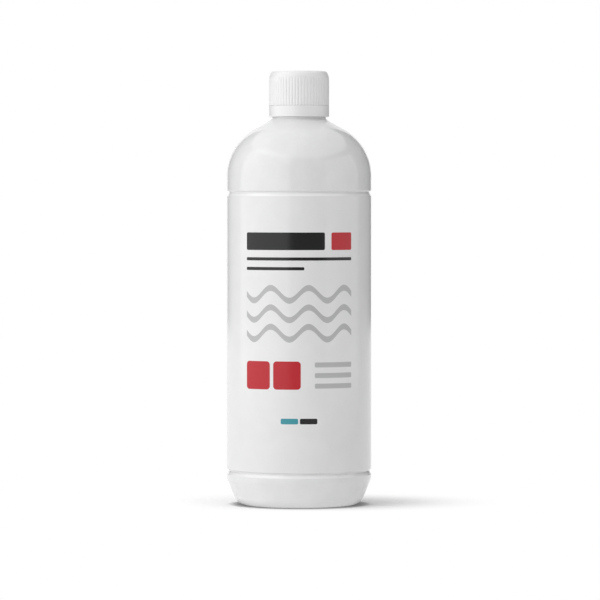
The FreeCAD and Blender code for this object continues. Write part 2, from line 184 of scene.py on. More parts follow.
class ClosureSizes(bpy.types.PropertyGroup):
    ceiling_round: length("Ceiling round", "Hollow round between the cap's ceiling and its skirt", 0.25)
    skirt_inside: length("Skirt inside", "Radius inside the cap's skirt", 14.75)
    skirt_chamfer: length("Skirt chamfer", "Lead-in at the skirt's foot", 0.5)
    chamfer_round: length("Chamfer round", "Round between the skirt's inside and that lead-in", 0.2)
    skirt_round: length("Skirt round", "Round of the skirt's outer foot", 0.12)
    bevel_angle: angle("Bevel angle", "Lean of the cap's bevel from upright", 24.0)
    bevel_drop: length("Bevel drop", "Height of the bevel", 3.244)
    bevel_round: length("Bevel round", "Round between the skirt and the bevel", 9.0)
    edge_round: length("Edge round", "Round of the cap's top edge", 1.6)
    gate_radius: length("Gate radius", "Radius of the gate recess in the cap's top", 2.2)
    gate_depth: length("Gate depth", "Depth of the gate recess", 0.3)
    gate_round: length("Gate round", "Round of the gate recess's edge", 0.2)
    bead_reach: length("Bead reach", "How far the bead under the wad stands in", 0.5)
    bead_drop: length("Bead drop", "Tip of that bead below the wad", 0.35)
    bead_ramp: length("Bead ramp", "Height of the slope below that bead", 0.6)
    bead_seat: length("Bead seat", "Hollow round between the wad's foot and that bead", 0.1)
    bead_round: length("Bead round", "Round of that bead's tip", 0.2)
    ramp_round: length("Ramp round", "Hollow round at the foot of that slope", 0.4)
    rib_count: count("Ribs", "Grip ribs round the cap", 60)
    rib_depth: length("Rib depth", "Depth of the gaps between ribs", 0.25)
    rib_gap: length("Rib gap", "Width of a gap at the ribs' crests", 0.85)
    rib_root: length("Rib root", "Width of a gap at its floor", 0.15)
    rib_drop: length("Rib drop", "Top of the gaps below the cap's top", 3.0)
    rib_fade: length("Rib fade", "Height over which a gap runs out", 0.7)
    band_inside: length("Band inside", "Radius inside the tamper band", 15.2)
    band_inner_round: length("Band inner round", "Round of the band's two inner edges", 0.2)
    band_foot_drop: length("Band foot drop", "How far the band's foot hangs below that of its solid", 0.78)
    band_foot_round: length("Band foot round", "Round of the band's outer foot", 0.6)
    band_top_round: length("Band top round", "Round of the band's outer top edge", 0.08)
    slit: length("Slit", "Gap between the band and the cap", 0.1)
    tab_count: count("Tabs", "Hooks, and bridges, round the band", 10)
    hook_arc: angle("Hook arc", "Arc of one hook", 26.0)
    hook_fade: angle("Hook fade", "Arc over which a hook's sides rise", 1.5)
    hook_reach: length("Hook reach", "How far a hook stands in", 1.5)
    hook_top: length("Hook top", "Top of the hooks above the foot of the band's solid", 2.85)
    hook_tip: length("Hook tip", "Height of a hook's tip", 0.6)
    hook_ramp: length("Hook ramp", "Height of the slope below a hook's tip", 1.6)
    bridge_arc: angle("Bridge arc", "Arc of one broken bridge", 3.0)
    bridge_fade: angle("Bridge fade", "Arc over which a bridge's sides rise", 0.6)
    bridge_inset: length("Bridge inset", "Distance of a bridge from the band's outside", 0.15)
    bridge_thickness: length("Bridge thickness", "Thickness of a bridge", 0.7)
    bridge_edge: length("Bridge edge", "Width over which a bridge's faces rise", 0.08)


class LabelSizes(bpy.types.PropertyGroup):
    glue: length("Glue", "Gap between the wall and the film", 0.02)
    gap: length("Gap", "Bare strip between the film's two ends", 4.0)
    half_print: length("Half print", "Half width of the printed field", 33.0)
    wave_rise: length("Wave rise", "How far a printed wave swings from its middle", 3.6)
    wave_length: length("Wave length", "Distance between a wave's crests", 22.0)
    wave_stroke: length("Wave stroke", "Half height of a wave's stroke", 1.7)


class Finishes(bpy.types.PropertyGroup):
    plastic: colour("Plastic", "White of the bottle", 0.80, 0.80, 0.805)
    plastic_pale: colour("Plastic, pale", "Paler white that mottles the bottle", 0.83, 0.83, 0.83)
    # Painted highlight: the paler white on each groove's lower lip stands in for light on that flank
    plastic_lip: colour("Plastic, lip", "White of the band on a groove's lower lip", 0.93, 0.93, 0.93)
    plastic_rough: share("Plastic roughness", "Least roughness of the bottle", 0.1)
    cap_white: colour("Cap", "White of the cap and band", 0.83, 0.83, 0.83)
    cap_pale: colour("Cap, pale", "Paler white that mottles the cap", 0.855, 0.855, 0.853)
    cap_rough: share("Cap roughness", "Least roughness of the cap and band", 0.22)
    film: colour("Film", "White of the label", 0.81, 0.81, 0.812)
    film_pale: colour("Film, pale", "Paler white that mottles the label", 0.83, 0.83, 0.83)
    film_rough: share("Film roughness", "Least roughness of the bare film", 0.12)
    film_shine: share("Film shine", "Specular level of the film", 0.4)
    black_ink: colour("Black ink", "Darkest print", 0.012, 0.012, 0.013)
    red_ink: colour("Red ink", "Red print", 0.51, 0.014, 0.024)
    grey_ink: colour("Grey ink", "Grey print", 0.50, 0.50, 0.505)
    teal_ink: colour("Teal ink", "Blue-green print", 0.05, 0.31, 0.37)
    ink_rough: share("Ink roughness", "Least roughness of the print", 0.22)
    mottle_rough: share("Mottle roughness", "Roughness that the mottle adds to moulded plastic", 0.04)
    rub_rough: share("Rub roughness", "Roughness that rub marks add", 0.05)
    foam: colour("Foam", "Colour of the liner's foam", 0.76, 0.76, 0.73)
    # Painted shade: the darker colour where the foam's cells are pressed in
    foam_dark: colour("Foam, dark", "Colour of the foam's cells", 0.62, 0.62, 0.59)
    membrane: colour("Membrane", "Colour of the vent membrane", 0.80, 0.80, 0.78)
    # Painted shade: the darker colour where the membrane's pores are pressed in
    membrane_dark: colour("Membrane, dark", "Colour of the membrane's pores", 0.66, 0.66, 0.63)


class StageSettings(bpy.types.PropertyGroup):
    camera_distance: length("Camera distance", "Camera from the bottle's axis", 2268.0)
    camera_height: length("Camera height", "Camera above the floor", 179.9)
    camera_side: length("Camera side", "Camera to the right of the axis", 0.55)
    camera_tilt: angle("Camera tilt", "How far the camera looks down", 1.571)
    camera_focus: share("Focal length", "Focal length in pixels of the picture", 3939.0)
    ambient: share("Ambient", "Strength of the even light from all round", 0.45)
    key_radiance: share("Key", "Radiance of the wide left softbox", 1.2)
    card_radiance: share("Card", "Radiance of the right card, which only reflections see", 0.9)
    top_radiance: share("Top", "Radiance of the overhead softbox, which reflections don't see", 2.2)
    shadow_radiance: share("Shadow", "Radiance of the overhead softbox that lights the floor alone", 9.0)
    floor_white: share("Floor white", "Share of light that the floor sends back near the bottle", 0.57)
    floor_glow: share("Floor glow", "Even light that the floor sends up to the bottle", 0.8)
    shadow_start: length("Shadow start", "Distance along X at which the shadow starts to fade", 50.0)
    shadow_end: length("Shadow end", "Distance along X at which the floor is plain white", 125.0)
    shadow_oval: share("Shadow oval", "How many times sooner the shadow fades along Y than along X", 1.6)
    shadow_shift: length("Shadow shift", "Middle of that fading behind the axis", 15.0)
    contact_reach: length("Contact reach", "Distance within which the bottle shades the floor", 5.0)
    contact_light: share("Contact light", "Share of light left on the floor under the bottle", 0.4)


BOTTLE = "bottle_plastic"
CAP = "cap_plastic"
FILM = "label_film"
FOAM = "wad_foam"
MEMBRANE = "membrane_film"


# Outlines

def unit(vector):
    """Vector of length 1 in the same direction."""
    return vector / np.linalg.norm(vector)


def corner_arc(before, corner, after, bend):
    """Arc of radius bend that touches the sides corner-before and corner-after.

    Its ends lie bend / tan(half the corner's angle) from the corner, and the points between turn evenly
    about the centre, close enough that no chord leaves the arc by more than FLATNESS.
    """
    back = unit(before - corner)
    ahead = unit(after - corner)
    half = math.acos(np.clip(back @ ahead, -1, 1)) / 2
    centre = corner + unit(back + ahead) * bend / math.sin(half)
    first = corner + back * bend / math.tan(half) - centre
    last = corner + ahead * bend / math.tan(half) - centre
    sweep = math.pi - 2 * half
    steps = max(2, math.ceil(sweep / (2 * math.acos(1 - FLATNESS / bend))))
    part = np.linspace(0, 1, steps + 1)[:, None]
    return centre + (np.sin((1 - part) * sweep) * first + np.sin(part * sweep) * last) / math.sin(sweep)


def rounded_outline(corners, closed=False):
    """Outline through corners (radius, height, round), each rounded by its own arc.

    A short plain strip is kept at both ends of every side, so that smooth shading stays within the rounds.
    A closed outline comes back to its first point.
    """
    corners = np.asarray(corners, float)
    places = corners[:, :2]
    if closed:
        before, after = np.roll(places, 1, axis=0), np.roll(places, -1, axis=0)
    else:
        before, after = places[[0, *range(len(places) - 1)]], places[[*range(1, len(places)), -1]]
    stretches = []
    for index, (place, bend) in enumerate(zip(places, corners[:, 2])):
        arc = corner_arc(before[index], place, after[index], bend) if bend > 0 else place[None]
        stretches.append(arc)
    if closed:
        stretches.append(stretches[0][:1])
    outline = [stretches[0]]
    for stretch in stretches[1:]:
        run = stretch[0] - outline[-1][-1]
        if np.linalg.norm(run) > 4 * HOLD:
            outline.append(np.array([outline[-1][-1] + unit(run) * HOLD, stretch[0] - unit(run) * HOLD]))
        outline.append(stretch)
    return np.vstack(outline)


def inset(corners, wall):
    """Corners moved to the left by wall: each lies where its two moved sides meet.

    With n and m the left normals of the sides, the move is wall (n + m) / (1 + n.m). A round that turns left
    shrinks by the wall, and one that turns right grows by it.
    """
    corners = np.asarray(corners, float)
    sides = np.diff(corners[:, :2], axis=0)
    sides /= np.linalg.norm(sides, axis=1)[:, None]
    normals = np.stack([-sides[:, 1], sides[:, 0]], axis=1)
    first = normals[[0, *range(len(normals))]]
    second = normals[[*range(len(normals)), -1]]
    move = wall * (first + second) / (1 + (first * second).sum(axis=1))[:, None]
    turn = np.sign(first[:, 0] * second[:, 1] - first[:, 1] * second[:, 0])
    bends = np.where(corners[:, 2] > 0, np.maximum(corners[:, 2] - turn * wall, LEAST_ROUND), 0)
    return np.column_stack([corners[:, :2] + move, bends])


def refined(outline, wanted, step):
    """Outline whose sides that start at a wanted point are split evenly into pieces no longer than step."""
    sides = np.diff(outline, axis=0)
    pieces = np.ceil(np.linalg.norm(sides, axis=1) / step)
    pieces = np.where(wanted[:-1], np.maximum(pieces, 1), 1).astype(int)
    side = np.repeat(np.arange(len(pieces)), pieces)
    place = np.arange(pieces.sum()) - np.repeat(np.cumsum(pieces) - pieces, pieces)
    points = outline[side] + sides[side] * (place / pieces[side])[:, None]
    return np.vstack([points, outline[-1:]])


def close_to(values, target):
    """True where a radius or height is the target, but for rounding."""
    return np.isclose(values, target, rtol=0, atol=CLOSE)


def smooth(value):
    """Smooth step: 0 below 0, 1 above 1, and 3 v^2 - 2 v^3 between."""
    value = np.clip(value, 0, 1)
    return value * value * (3 - 2 * value)


def off_nearest(angles, number):
    """Angle from the nearest of number even places round the axis, the first of them at angle 0."""
    step = TURN / number
    return np.abs((angles + step / 2) % step - step / 2)


def round_tooth(angles, number, half_arc, fade):
    """1 within half_arc of any of number even places round the axis, and 0 outside, fading between."""
    return smooth((half_arc - off_nearest(angles, number)) / fade + 0.5)


def thread_ridge(angles, heights, start, turns, thread):
    """Right-hand thread: 1 on its crest, 0 beside it.

    The crest's middle is at start + pitch times the turns made, so the number of whole turns below a point is
    the nearest to climb - angle / turn. The distance along Z from that turn gives the flanks.
    """
    climb = (heights - start) / thread.pitch
    made = np.round(climb - angles / TURN) + angles / TURN
    away = np.abs(climb - made) * thread.pitch
    flank = smooth((thread.root - away) / (thread.root - thread.crest))
    return flank * smooth(made / thread.lead_in) * smooth((turns - made) / thread.lead_in)


# Meshes

def placed(name, data):
    """New object in the scene, at the origin."""
    made = bpy.data.objects.new(name, data)
    bpy.context.scene.collection.objects.link(made)
    return made


def mesh_object(name, points, faces, material):
    """New object whose mesh is made from whole arrays, with one material."""
    mesh = bpy.data.meshes.new(name)
    mesh.from_pydata(points, [], faces)
    if mesh.validate():
        raise RuntimeError(f"{name} has faces that Blender had to mend")
    mesh.materials.append(material)
    return placed(name, mesh)


def finished(name, points, faces, material, body, node):
    """Makes the object of a piece, shades it, and puts it on its body in its node's place."""
    piece = mesh_object(name, points, faces, material)
    piece.data.shade_smooth()
    piece.data.set_sharp_from_angle(angle=SHARP_ANGLE)
    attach(piece, body)
    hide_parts(node)
    return piece


def vertex_numbers(grid):
    """Number of each point of a grid, counted row by row."""
    return np.arange(grid.shape[0] * grid.shape[1]).reshape(grid.shape[:2])


def strip_faces(numbers):
    """Quads between neighbouring rows and columns of a grid of vertex numbers."""
    low, high = numbers[:-1], numbers[1:]
    return np.stack([low[:, :-1], low[:, 1:], high[:, 1:], high[:, :-1]], axis=-1).reshape(-1, 4)


def even_angles(number):
    """Angles of number even places round the axis, the first of them 0."""
    return np.arange(number) * TURN / number


def unmoved(radii, heights, angles):
    """Shape of a plain turned outline."""
    return radii, heights


def turned_grid(outline, angles, shape=unmoved):
    """Points (r cos a, r sin a, z) of an outline turned about Z, once shape has moved its r and z."""
    radii = np.repeat(outline[:, :1], len(angles), axis=1)
    heights = np.repeat(outline[:, 1:], len(angles), axis=1)
    radii, heights = shape(radii, heights, angles[None, :])
    return np.stack([radii * np.cos(angles), radii * np.sin(angles), heights], axis=-1)


def turned_solid(outline, angles, shape):
    """Points and faces of an outline that starts and ends on the axis: rows of quads closed by two fans."""
    grid = turned_grid(outline, angles, shape)
    rows = grid[1:-1]
    points = np.vstack([rows.reshape(-1, 3), grid[0, :1], grid[-1, :1]])
    numbers = vertex_numbers(rows)
    numbers = np.hstack([numbers, numbers[:, :1]])
    low, high = numbers[0], numbers[-1]
    first = np.full(len(angles), len(points) - 2)
    last = np.full(len(angles), len(points) - 1)
    first_fan = np.stack([first, low[1:], low[:-1]], axis=1)
    last_fan = np.stack([high[:-1], high[1:], last], axis=1)
    return points, strip_faces(numbers).tolist() + first_fan.tolist() + last_fan.tolist()


def turned_ring(outline, angles, shape):
    """Points and faces of a closed outline, whose last point is its first, turned into a ring."""
    grid = turned_grid(outline[:-1], angles, shape)
    numbers = vertex_numbers(grid)
    numbers = np.vstack([numbers, numbers[:1]])
    numbers = np.hstack([numbers, numbers[:, :1]])
    return grid.reshape(-1, 3), strip_faces(numbers).tolist()


# Shader parts

def add(tree, kind, inputs=None, **settings):
    """New node with its settings, and its input sockets filled or linked by name or number."""
    made = tree.nodes.new(kind)
    for name, value in settings.items():
        setattr(made, name, value)
    for name, value in (inputs or {}).items():
        if isinstance(value, bpy.types.NodeSocket):
            tree.links.new(value, made.inputs[name])
        else:
            made.inputs[name].default_value = value
    return made


def calc(tree, operation, *values):
    """Output of a Math node fed with sockets or numbers."""
    return add(tree, "ShaderNodeMath", dict(enumerate(values)), operation=operation).outputs[0]


def blended(tree, factor, first, second):
    """Output of a colour mix."""
    inputs = {0: factor, 6: first, 7: second}
    return add(tree, "ShaderNodeMix", inputs, data_type="RGBA").outputs[2]


def ramped(tree, value, low, high, start=0.0, end=1.0, steps="SMOOTHSTEP"):
    """Output of a Map Range node: start at low, end at high."""
    inputs = {"Value": value, "From Min": low, "From Max": high, "To Min": start, "To Max": end}
    return add(tree, "ShaderNodeMapRange", inputs, interpolation_type=steps).outputs[0]


def noise(tree, place, scale, detail, roughness=0.5):
    """Output of a noise texture."""
    inputs = {"Vector": place, "Scale": scale, "Detail": detail, "Roughness": roughness}
    return add(tree, "ShaderNodeTexNoise", inputs).outputs["Fac"]


def bumped(tree, height, strength, depth):
    """Normal of a surface that is raised by a height."""
    inputs = {"Height": height, "Strength": strength, "Distance": depth}
    return add(tree, "ShaderNodeBump", inputs).outputs[0]


def object_place(tree):
    """Place of a point in the piece's own frame."""
    return add(tree, "ShaderNodeTexCoord").outputs["Object"]


def opaque(rgb):
    """Colour with full alpha."""
    return (*rgb, 1.0)


def effect_group(name, inputs, outputs):
    """New shader node group with named value inputs and outputs; returns it with its two ends."""
    group = bpy.data.node_groups.new(name, "ShaderNodeTree")
    for label, default in inputs.items():
        socket = group.interface.new_socket(label, in_out="INPUT", socket_type="NodeSocketFloat")
        socket.default_value = default
    for label in outputs:
        group.interface.new_socket(label, in_out="OUTPUT", socket_type="NodeSocketFloat")
    return group, group.nodes.new("NodeGroupInput").outputs, group.nodes.new("NodeGroupOutput").inputs


def grouped(tree, make, inputs):
    """Outputs of a shared effect placed in a material with its own values; its group is made at first use."""
    group = bpy.data.node_groups.get(make.__name__) or make(make.__name__)
    return add(tree, "ShaderNodeGroup", inputs, node_tree=group).outputs


def moulded_skin(name):
    """Skin of a moulded piece: fine grain and slow ripple as one height, and a slow mottle."""
    inputs = {"Grain Scale": 3000.0, "Ripple Scale": 60.0, "Grain Share": 0.3}
    group, given, result = effect_group(name, inputs, ["Height", "Mottle"])
    place = object_place(group)
    mottle_scale = calc(group, "MULTIPLY", given["Ripple Scale"], 2.3)
    grain = noise(group, place, given["Grain Scale"], detail=3.0)
    ripple = noise(group, place, given["Ripple Scale"], detail=1.0)
    mottle = noise(group, place, mottle_scale, detail=4.0, roughness=0.6)
    lift = calc(group, "MULTIPLY", calc(group, "SUBTRACT", grain, ripple), given["Grain Share"])
    group.links.new(calc(group, "ADD", ripple, lift), result["Height"])
    group.links.new(ramped(group, mottle, 0.3, 0.7), result["Mottle"])
    return group


def handling_marks(name):
    """Faint rub marks from handling: fine streaks round the piece that show only in patches."""
    inputs = {"Patch Scale": 40.0, "Streak Scale": 900.0}
    group, given, result = effect_group(name, inputs, ["Marks"])
    place = object_place(group)
    drawn_out = add(group, "ShaderNodeMapping", {"Vector": place, "Scale": (0.12, 0.12, 1.0)}).outputs[0]
    streaks = ramped(group, noise(group, drawn_out, given["Streak Scale"], detail=2.0), 0.5, 0.8)
    patches = ramped(group, noise(group, place, given["Patch Scale"], detail=2.0), 0.55, 0.7)
    group.links.new(calc(group, "MULTIPLY", streaks, patches), result["Marks"])
    return group


def print_bar(name):
    """Mask of a printed bar with round corners: 1 inside, 0 outside, from the distance to its edge."""
    places = {"Across": 0.0, "Up": 0.0, "Middle Across": 0.0, "Middle Up": 0.0}
    sizes = {"Half Width": 10 * MM, "Half Height": 10 * MM, "Round": MM}
    group, given, result = effect_group(name, {**places, **sizes}, ["Mask"])
    soft = 0.04 * MM

    def beyond(place, middle, half):
        away = calc(group, "ABSOLUTE", calc(group, "SUBTRACT", given[place], given[middle]))
        return calc(group, "SUBTRACT", away, calc(group, "SUBTRACT", given[half], given["Round"]))

    across = beyond("Across", "Middle Across", "Half Width")
    up = beyond("Up", "Middle Up", "Half Height")
    squares = [calc(group, "POWER", calc(group, "MAXIMUM", side, 0.0), 2.0) for side in (across, up)]
    outside = calc(group, "SQRT", calc(group, "ADD", *squares))
    inside = calc(group, "MINIMUM", calc(group, "MAXIMUM", across, up), 0.0)
    edge = calc(group, "SUBTRACT", calc(group, "ADD", outside, inside), given["Round"])
    group.links.new(ramped(group, edge, -soft, soft, 1.0, 0.0), result["Mask"])
    return group


def new_material(name):
    """Material with an emptied node tree; returns it with its tree."""
    material = bpy.data.materials.new(name)
    material.use_nodes = True
    material.node_tree.nodes.clear()
    return material, material.node_tree


def surface(tree, inputs):
    """Principled shader joined to the output."""
    shader = add(tree, "ShaderNodeBsdfPrincipled", inputs)
    add(tree, "ShaderNodeOutputMaterial", {"Surface": shader.outputs[0]})


def worn_skin(tree, skin, marks, finishes, relief):
    """Mottle and normal of a moulded skin, and the roughness that its rub marks add."""
    parts = grouped(tree, moulded_skin, skin)
    rubbed = grouped(tree, handling_marks, marks)["Marks"]
    normal = bumped(tree, parts["Height"], relief, depth=0.03 * MM)
    return parts["Mottle"], normal, calc(tree, "MULTIPLY", rubbed, finishes.rub_rough)


def level_bands(tree, levels, half):
    """Mask of the painted highlight's level bands about some heights: 1 near a band's middle, fading to 0 at
    half from it.
    """
    up = add(tree, "ShaderNodeSeparateXYZ", {0: object_place(tree)}).outputs["Z"]
    full = 0.4 * half
    mask = 0.0
    for level in levels:
        away = calc(tree, "ABSOLUTE", calc(tree, "SUBTRACT", up, level))
        mask = calc(tree, "MAXIMUM", mask, ramped(tree, away, full, half, 1.0, 0.0))
    return mask


def plastic_material(name, whites, rough, skin, marks, finishes, highlight_heights=(), highlight_half_height=MM):
    """Semi-gloss moulded plastic: mottled white, rubbed a little rougher in patches, over a grained skin.

    It is whiter in level bands that reach a given distance above and below given heights: a painted highlight
    that stands in for light on the grooves' lower lips.
    """
    material, tree = new_material(name)
    mottle, normal, rubbed = worn_skin(tree, skin, marks, finishes, relief=0.4)
    base, pale = whites
    tone = blended(tree, mottle, opaque(base), opaque(pale))
    # Painted highlight on the grooves' lower lips, where light falls on the up-facing flank
    if highlight_heights:
        tone = blended(tree, level_bands(tree, highlight_heights, highlight_half_height), tone, opaque(finishes.plastic_lip))
    roughness = ramped(tree, mottle, 0.0, 1.0, rough, rough + finishes.mottle_rough)
    roughness = calc(tree, "ADD", roughness, rubbed)
    surface(tree, {"Base Color": tone, "Roughness": roughness, "Normal": normal, "IOR": 1.5})
    return material


def fine_material(name, base, dark, scale, depth):
    """Matte fine-celled sheet: cells or pores in a pale ground, pressed in by their own height, which also
    darkens them as painted shade.
    """
    material, tree = new_material(name)
    inputs = {"Vector": object_place(tree), "Scale": scale}
    cells = add(tree, "ShaderNodeTexVoronoi", inputs).outputs["Distance"]
    depth_map = ramped(tree, cells, 0.05, 0.6)
    # Painted shade: the colour darkens where the cells are pressed in
    tone = blended(tree, depth_map, opaque(dark), opaque(base))
    roughness = ramped(tree, cells, 0.0, 1.0, 0.75, 0.6)
    normal = bumped(tree, depth_map, strength=0.5, depth=depth)
    surface(tree, {"Base Color": tone, "Roughness": roughness, "Normal": normal})
    return material


# Bottle

def groove_corners(sizes, middle):
    """Four corners of a groove about a height, from the bottom up."""
    half, floor = sizes.groove_width / 2, sizes.groove_floor / 2
    bottom = BODY_RADIUS - sizes.groove_depth
    deepest = middle + sizes.groove_lean
    return [
        (BODY_RADIUS, middle - half, sizes.groove_edge),
        (bottom, deepest - floor, sizes.groove_round),
        (bottom, deepest + floor, sizes.groove_edge),
        (BODY_RADIUS, middle + half, sizes.groove_edge),
    ]


def cone_height(sizes, radius):
    """Height of the shoulder's cone, run on to any radius; at the wall it is the dome's corner."""
    dome_start = sizes.heel_height + sizes.panel_height + sizes.shoulder_height
    dome_corner = dome_start + sizes.dome_radius * math.tan((QUARTER - sizes.shoulder_slope) / 2)
    return dome_corner + (BODY_RADIUS - radius) * math.tan(sizes.shoulder_slope)


def body_corners(sizes):
    """Corners of the outside from the middle of the base to the cone, as (radius, height, round)."""
    heel_reach = sizes.heel_round * math.tan(sizes.heel_taper / 2)
    heel = sizes.heel_height - sizes.groove_width / 2 - sizes.heel_land - heel_reach
    base = BODY_RADIUS - heel * math.tan(sizes.heel_taper)
    ring_outside = base - sizes.base_round * math.tan((QUARTER - sizes.heel_taper) / 2)
    ring = ring_outside - sizes.stand_ring
    bowl = (ring ** 2 + sizes.push_up ** 2) / (2 * sizes.push_up)
    bowl_corner = bowl * sizes.push_up / ring
    # The bowl's round stops short of the stand ring, to leave a plain strip for the ring's own round
    bowl_round = bowl * (1 - 2 * sizes.ring_round / bowl_corner)
    end = sizes.bore_radius + sizes.wall * math.sin(sizes.shoulder_slope)
    return [
        (0, sizes.push_up, 0),
        (bowl_corner, sizes.push_up, bowl_round),
        (ring, 0, sizes.ring_round),
        (base, 0, sizes.base_round),
        (BODY_RADIUS, heel, sizes.heel_round),
        *groove_corners(sizes, sizes.heel_height),
        *groove_corners(sizes, sizes.heel_height + sizes.panel_height),
        (BODY_RADIUS, cone_height(sizes, BODY_RADIUS), sizes.dome_radius),
        (end, cone_height(sizes, end), 0),
    ]


def neck_corners(sizes):
    """Corners of the flare, collar, catch bead, neck and land."""
    flare = sizes.collar_radius + sizes.flare_reach
    collar_foot = cone_height(sizes, sizes.collar_radius) + sizes.flare_rise
    ledge = LAND - sizes.neck_height
    catch = ledge + sizes.bead_height
    bead = sizes.neck_radius + sizes.bead_reach
    edge = catch + sizes.bead_edge
    return [
        (flare, cone_height(sizes, flare), sizes.flare_round),
        (sizes.collar_radius, collar_foot, sizes.collar_fillet),
        (sizes.collar_radius, ledge, sizes.collar_edge),
        (sizes.neck_radius, ledge, sizes.neck_fillet),
        (sizes.neck_radius, catch, sizes.bead_round),
        (bead, catch, LEAST_ROUND),
        (bead, edge, sizes.bead_round),
        (sizes.neck_radius, edge + sizes.bead_ramp, sizes.ramp_round),
        (sizes.neck_radius, LAND, sizes.lip_round),
        (sizes.bore_radius, LAND, sizes.lip_round),
    ]


def bottle_surface(sizes, thread):
    """Bottle: an outline up the outside and down the inside, turned about Z.

    The neck's radius gains the thread. The mould seam is a ridge on the plane y = 0, of height
    exp(-(y / width)^2), on the wall, and the pinch-off seam is a wider one, of height exp(-(y / width)^4),
    that hangs from the base.
    """
    outside = body_corners(sizes)
    inner = inset(outside, sizes.wall)[::-1]
    inner[0, 2] = sizes.wall
    outline = rounded_outline([*outside[:-1], *neck_corners(sizes), *inner])
    bead_top = LAND - sizes.neck_height + sizes.bead_height + sizes.bead_edge + sizes.bead_ramp
    plain_neck = close_to(outline[:, 0], sizes.neck_radius) & (outline[:, 1] > bead_top)
    outline = refined(outline, plain_neck, step=0.3 * MM)
    rows = np.arange(len(outline))[:, None]
    foot = np.flatnonzero(outline[:, 1] < CLOSE)[-1]
    lip = outline[:, 1].argmax()
    on_wall = (rows > foot) & (rows < lip)
    start = LAND - sizes.neck_height + thread.rise

    def shape(radii, heights, angles):
        away = np.abs(radii * np.sin(angles))
        along = np.abs(radii * np.cos(angles))
        ridge = thread_ridge(angles, heights, start, thread.turns, thread)
        seam = sizes.seam_height * np.exp(-(away / sizes.seam_width) ** 2)
        seam = seam * smooth(heights / sizes.base_round) * smooth((LAND - heights) / (2 * sizes.lip_round))
        pinch = sizes.pinch_height * np.exp(-(away / sizes.pinch_width) ** 4)
        pinch = pinch * smooth((sizes.pinch_reach - along) / sizes.pinch_fade)
        radii = radii + on_wall * (ridge * thread.neck_depth * (heights > bead_top) + seam)
        return radii, heights - (rows <= foot) * pinch

    beside_seam = np.radians([-0.75, -0.5, -0.33, -0.16, 0.16, 0.33, 0.5, 0.75])
    angles = np.concatenate([even_angles(BODY_SIDES), beside_seam, beside_seam + math.pi])
    return turned_solid(outline, np.unique(angles % TURN), shape)


class SOLUTION_OT_bottle(bpy.types.Operator):
    """Build the blown bottle with its neck finish"""

    bl_idname = "solution.bottle"
    bl_label = "Bottle"

    def execute(self, context):
        finishes = context.scene.solution_finishes
        sizes = context.scene.solution_bottle
        points, faces = bottle_surface(sizes, context.scene.solution_thread)
        whites = (finishes.plastic, finishes.plastic_pale)
        skin = {"Grain Scale": 2600.0, "Ripple Scale": 45.0, "Grain Share": 0.25}
        marks = {"Patch Scale": 30.0, "Streak Scale": 700.0}
        # Heights of the painted highlight on the grooves' lower lips
        low_highlight = sizes.heel_height - sizes.groove_width / 4
        highlight_heights = (low_highlight, low_highlight + sizes.panel_height)
        material = plastic_material(
            BOTTLE, whites, finishes.plastic_rough, skin, marks, finishes, highlight_heights, sizes.white_reach
        )
        finished("bottle_shell", points, faces, material, "bottle", "bottle")
        return {"FINISHED"}


# Label

def label_surface(sizes):
    """Film wrapped round the panel: a thin section carried along an arc that leaves a bare strip at the back.

    Returns the points, the faces with the two ends closed, and each point's place on the film: across, the
    arc from the middle of the front, and up, its height.
    """
    outer = LABEL_HIGH.x
    inner = BODY_RADIUS + sizes.glue
    low, high = LABEL_LOW.z, LABEL_HIGH.z
    section = np.array([(inner, low), (outer, low), (outer, high), (inner, high)])
    reach = math.pi - sizes.gap / outer / 2
    angles = np.linspace(FRONT - reach, FRONT + reach, FILM_SIDES + 1)
    grid = turned_grid(section, angles)
    numbers = vertex_numbers(grid)
    faces = strip_faces(np.vstack([numbers, numbers[:1]])).tolist()
    faces += [numbers[:, 0].tolist(), numbers[::-1, -1].tolist()]
    across = np.repeat(((angles - FRONT) * outer)[None, :], len(section), axis=0)
    up = np.repeat(section[:, 1:], len(angles), axis=1)
    return grid.reshape(-1, 3), faces, np.stack([across, up], axis=-1).reshape(-1, 2)


def printed_bars(half):
    """Bars of the plain printed design: ink, middle across, middle up, half width, half height, round; in mm.

    Heights are measured from the floor, and half is the half width of the printed field.
    """
    return [
        ("black", -half + 24.0, 152.0, 24.0, 5.0, 1.0),
        ("red", half - 7.0, 152.0, 7.0, 5.0, 1.0),
        ("black", 0.0, 142.0, half, 0.9, 0.5),
        ("black", -half + 18.0, 136.5, 18.0, 0.9, 0.5),
        ("red", -half + 8.0, 76.0, 8.0, 8.0, 2.0),
        ("red", -half + 26.0, 76.0, 8.0, 8.0, 2.0),
        *(("grey", half - 12.0, level, 12.0, 1.4, 0.7) for level in (82.0, 76.0, 70.0)),
        ("teal", -5.5, 50.0, 5.0, 1.6, 0.8),
        ("black", 5.5, 50.0, 5.0, 1.6, 0.8),
    ]


def wave_mask(tree, across, up, level, sizes):
    """Mask of one printed wave: near the line up = level + rise sin(turns across), within the field."""
    soft = 0.05 * MM

    def within(distance, reach):
        return ramped(tree, distance, reach - soft, reach + soft, 1.0, 0.0)

    swing = calc(tree, "SINE", calc(tree, "MULTIPLY", across, TURN / sizes.wave_length))
    line = calc(tree, "ADD", calc(tree, "MULTIPLY", swing, sizes.wave_rise), level)
    off_line = calc(tree, "ABSOLUTE", calc(tree, "SUBTRACT", up, line))
    off_middle = calc(tree, "ABSOLUTE", across)
    return calc(tree, "MULTIPLY", within(off_line, sizes.wave_stroke), within(off_middle, sizes.half_print))


